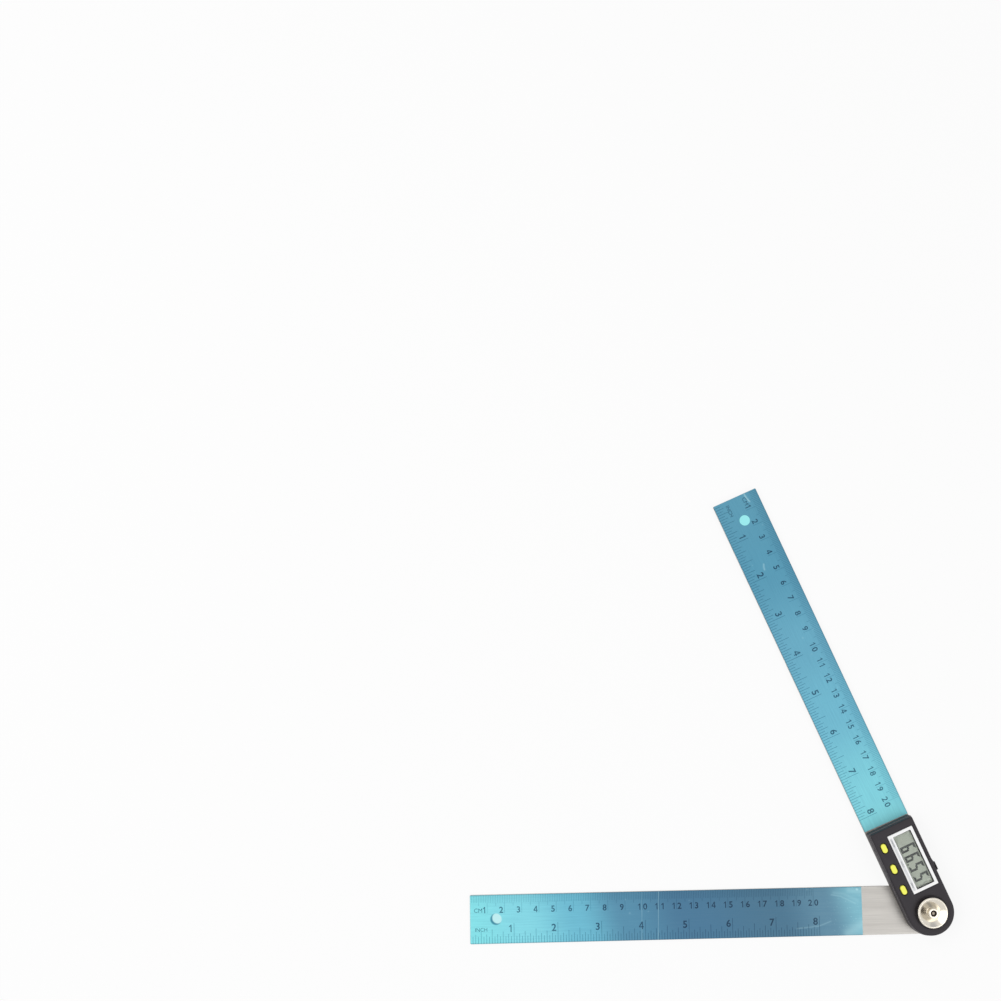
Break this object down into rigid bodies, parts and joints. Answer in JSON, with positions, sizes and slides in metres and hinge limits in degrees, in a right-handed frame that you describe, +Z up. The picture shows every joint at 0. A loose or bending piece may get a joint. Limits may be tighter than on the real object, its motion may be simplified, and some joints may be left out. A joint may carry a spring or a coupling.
{
  "type": "digital angle finder",
  "caption": "Two pivoting steel rules with inch and centimetre scales, a digital angle display on the upper one and a clamping knob on the pivot.",
  "frame": {"origin": "on the pivot axis, in the plane of the underside of the lower rule", "axes": "+Z up along the pivot axis, -X along the lower arm towards its free end; the upper arm points to +Y and -X, 66.55 degrees open from the lower one"},
  "size_m": [0.28, 0.2635, 0.0167],
  "materials": {
    "ruler_steel": "stainless steel, brushed along the blade",
    "blue_film": "glossy translucent blue protective film on the steel",
    "bearing_steel": "turned or pressed steel",
    "nylon": "natural nylon",
    "brass": "turned brass",
    "housing_plastic": "satin dark grey moulded plastic",
    "board_green": "green solder mask on glass fibre laminate",
    "chip_black": "moulded black epoxy",
    "lcd_glass": "reflective grey-green liquid crystal glass",
    "zebra_rubber": "striped conductive silicone",
    "bezel_silver": "silver white printed plastic frame",
    "window_clear": "clear acrylic pane",
    "cell_metal": "pressed metal can",
    "button_yellow": "bright yellow moulded plastic",
    "knob_plated": "bright nickel plate"
  },
  "bodies": {
    "lower_arm": {"lower_ruler": "ruler_steel", "lower_film": "blue_film", "pivot_spindle": "bearing_steel", "encoder_rotor": "board_green", "friction_washer": "nylon"},
    "upper_arm": {"upper_ruler": "ruler_steel", "upper_film": "blue_film", "pivot_bush": "brass", "housing_cover": "housing_plastic", "base_plate": "housing_plastic", "main_board": "board_green", "controller_chip": "chip_black", "lcd_panel": "lcd_glass", "zebra_connector": "zebra_rubber", "lcd_bezel": "bezel_silver", "lcd_window": "window_clear", "contact_negative": "bearing_steel", "contact_positive": "bearing_steel", "housing_screw_1": "bearing_steel", "housing_screw_2": "bearing_steel", "housing_screw_3": "bearing_steel", "housing_screw_4": "bearing_steel", "switch_zero": "bearing_steel", "switch_hold": "bearing_steel", "switch_on_off": "bearing_steel"},
    "zero_button": {"button_zero": "button_yellow"},
    "hold_button": {"button_hold": "button_yellow"},
    "on_off_button": {"button_on_off": "button_yellow"},
    "battery_drawer": {"battery_tray": "housing_plastic", "coin_cell": "cell_metal"},
    "clamp": {"clamp_washer": "bearing_steel"},
    "knob": {"lock_knob": "knob_plated"}
  },
  "joints": [
    {"name": "arm_pivot", "type": "hinge", "parent": "lower_arm", "child": "upper_arm", "pos_m": [0, 0, 0.0017], "axis": [0, 0, -1], "continuous": true},
    {"name": "clamp_travel", "type": "slide", "parent": "lower_arm", "child": "clamp", "axis": [0, 0, -1], "range_m": [0, 0.000375]},
    {"name": "knob_turn", "type": "hinge", "parent": "clamp", "child": "knob", "pos_m": [0, 0, 0.012], "axis": [0, 0, -1], "range_deg": [0, 270]},
    {"name": "zero_press", "type": "slide", "parent": "upper_arm", "child": "zero_button", "axis": [0, 0, -1], "range_m": [0, 0.0004], "stiffness_N_per_m": 400},
    {"name": "hold_press", "type": "slide", "parent": "upper_arm", "child": "hold_button", "axis": [0, 0, -1], "range_m": [0, 0.0004], "stiffness_N_per_m": 400},
    {"name": "on_off_press", "type": "slide", "parent": "upper_arm", "child": "on_off_button", "axis": [0, 0, -1], "range_m": [0, 0.0004], "stiffness_N_per_m": 400},
    {"name": "battery_slide", "type": "slide", "parent": "upper_arm", "child": "battery_drawer", "axis": [0.9174, 0.3979, 0], "range_m": [0, 0.02]}
  ],
  "couplings": [
    {"joint": "knob_turn", "follows": "clamp_travel", "rad_per_m": 12566}
  ]
}
